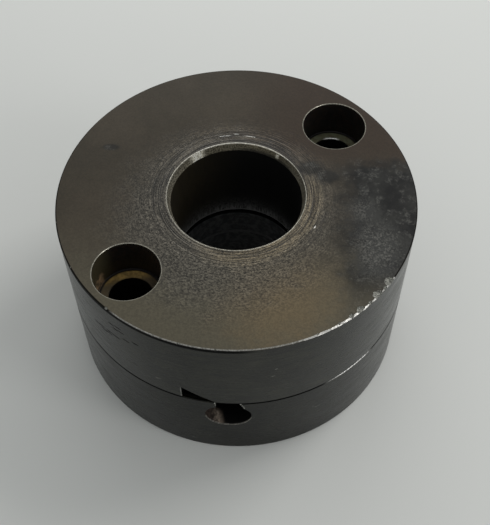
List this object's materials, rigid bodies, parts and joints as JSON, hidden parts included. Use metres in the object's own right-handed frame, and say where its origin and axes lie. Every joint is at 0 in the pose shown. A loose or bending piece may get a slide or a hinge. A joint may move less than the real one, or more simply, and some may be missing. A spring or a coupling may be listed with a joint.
{
  "type": "enclosed jaw coupling",
  "caption": "Enclosed jaw coupling: a round steel housing with a lift-off cover, and a keyed jaw hub that drives through rubber blocks inside it.",
  "frame": {"origin": "centre of the lower disc's outer face, which the part stands on", "axes": "+Z along the shaft axis towards the cover; -Y through the keyway, the set screw and its access hole in the rim"},
  "size_m": [0.11, 0.11, 0.062],
  "materials": {
    "cover_steel": "turned, oiled and darkened with age, bare on worn edges",
    "body_steel": "turned, oiled and darkened with age",
    "hub_steel": "machined and oily",
    "block_rubber": "moulded, matt",
    "dowel_steel": "ground bright",
    "washer_bronze": "turned bronze, oily",
    "screw_steel": "black oxide"
  },
  "bodies": {
    "housing": {"jaw_body": "body_steel", "rubber_block_1": "block_rubber", "rubber_block_2": "block_rubber", "rubber_block_3": "block_rubber", "rubber_block_4": "block_rubber", "rubber_block_5": "block_rubber", "rubber_block_6": "block_rubber", "rubber_block_7": "block_rubber", "rubber_block_8": "block_rubber", "dowel_pin_1": "dowel_steel", "dowel_pin_2": "dowel_steel", "bottom_thrust_washer": "washer_bronze"},
    "cover": {"cover_half": "cover_steel"},
    "hub": {"jaw_hub": "hub_steel", "top_thrust_washer": "washer_bronze"},
    "screw": {"set_screw": "screw_steel"}
  },
  "joints": [
    {"name": "cover_lift", "type": "slide", "parent": "housing", "child": "cover", "axis": [0, 0, 1], "range_m": [0, 0.04]},
    {"name": "hub_twist", "type": "hinge", "parent": "housing", "child": "hub", "pos_m": [0, 0, 0], "axis": [0, 0, 1], "range_deg": [-1, 1]},
    {"name": "set_screw_travel", "type": "slide", "parent": "hub", "child": "screw", "axis": [0, -1, 0], "range_m": [0, 0.008]}
  ]
}
